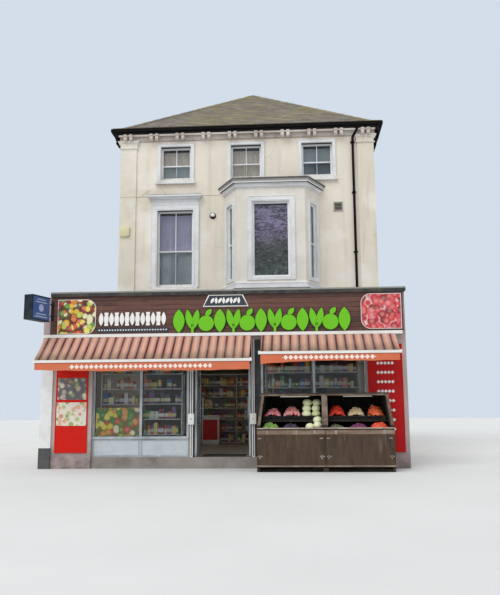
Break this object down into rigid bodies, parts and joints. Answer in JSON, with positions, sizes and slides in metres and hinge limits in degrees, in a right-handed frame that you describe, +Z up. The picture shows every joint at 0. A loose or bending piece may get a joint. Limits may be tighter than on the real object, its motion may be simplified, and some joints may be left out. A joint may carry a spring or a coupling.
{
  "type": "convenience shop building",
  "caption": "Three-storey stuccoed house with a hipped slate roof and a bay window, over a one-storey shop with striped awnings and a produce stand.",
  "frame": {"origin": "centre of the footprint of the shop and house, on the ground", "axes": "+Z up, +X to the right seen from the street, +Y from the street into the building"},
  "size_m": [8.8063, 14.6542, 12.92],
  "materials": {
    "cream_stucco": "matt painted stucco, weathered",
    "shop_stucco": "matt painted render, stained",
    "white_moulding": "matt white paint on stucco",
    "concrete": "plain concrete",
    "slate": "natural slate with lichen",
    "sign_timber": "dark brown stained planks",
    "lead": "dull dressed lead",
    "blue_sign": "glossy acrylic box",
    "aluminium_frame": "satin anodised",
    "panel_grey": "satin paint",
    "dark_frame": "satin dark paint",
    "white_metal": "satin white paint",
    "clear_glass": "clear",
    "awning_cloth": "woven awning cloth, striped",
    "red_board": "satin printed board",
    "stand_timber": "weathered dark boards",
    "produce": "crates filled with fruit and vegetables",
    "floor_boards": "plain boards",
    "painted_timber": "white gloss paint",
    "eaves_paint": "cream paint",
    "black_iron": "black gloss paint",
    "green_door": "satin paint",
    "shelf_metal": "satin cream paint",
    "lamp_white": "opal diffuser",
    "alarm_cream": "satin"
  },
  "bodies": {
    "building": {"ground_floor": "concrete", "shop_left_wall": "shop_stucco", "shop_right_wall": "shop_stucco", "shop_front_beam": "concrete", "shop_flat_roof": "lead", "end_pilaster": "white_moulding", "left_pier_board": "red_board", "right_pier_board": "red_board", "signboard": "sign_timber", "lead_coping": "lead", "projecting_sign": "blue_sign", "shop_window_frames": "aluminium_frame", "stall_risers": "panel_grey", "shop_glass": "clear_glass", "door_frame": "dark_frame", "shutter_guides": "white_metal", "awning_rail": "white_metal", "left_awning": "awning_cloth", "right_awning": "awning_cloth", "awning_bars": "white_metal", "awning_arms": "white_metal", "produce_stand": "stand_timber", "produce_shelves": "stand_timber", "produce_trays": "produce", "goods_shelving": "shelf_metal", "chest_cabinet": "white_metal", "house_front_wall": "cream_stucco", "house_left_wall": "cream_stucco", "house_right_wall": "cream_stucco", "house_back_wall": "cream_stucco", "upper_floors": "floor_boards", "house_roof": "slate", "eaves_soffit": "eaves_paint", "eaves_brackets": "eaves_paint", "gutters": "black_iron", "downpipe": "black_iron", "corner_pilasters": "cream_stucco", "window_surrounds": "white_moulding", "tall_window_surround": "white_moulding", "window_sills": "white_moulding", "bay_walls": "cream_stucco", "bay_mouldings": "white_moulding", "bay_roof": "lead", "bay_sashes": "painted_timber", "sash_windows": "painted_timber", "window_glass": "clear_glass", "back_door": "green_door", "wall_vent": "concrete", "wall_lamp": "lamp_white", "alarm_box": "alarm_cream"},
    "left_leaf": {"left_door": "aluminium_frame", "left_door_glass": "clear_glass"},
    "right_leaf": {"right_door": "aluminium_frame", "right_door_glass": "clear_glass"},
    "left_stand_flap": {"left_flap": "stand_timber"},
    "right_stand_flap": {"right_flap": "stand_timber"}
  },
  "joints": [
    {"name": "left_door_hinge", "type": "hinge", "parent": "building", "child": "left_leaf", "pos_m": [-0.608, -6.4915, 0.26], "axis": [0, 0, -1], "range_deg": [0, 90]},
    {"name": "right_door_hinge", "type": "hinge", "parent": "building", "child": "right_leaf", "pos_m": [0.633, -6.4915, 0.26], "axis": [0, 0, 1], "range_deg": [0, 90]},
    {"name": "left_flap_hinge", "type": "hinge", "parent": "building", "child": "left_stand_flap", "pos_m": [1.5735, -7.6, 0.89], "axis": [-1, 0, 0], "range_deg": [0, 192.9]},
    {"name": "right_flap_hinge", "type": "hinge", "parent": "building", "child": "right_stand_flap", "pos_m": [3.0265, -7.6, 0.89], "axis": [-1, 0, 0], "range_deg": [0, 192.9]}
  ]
}
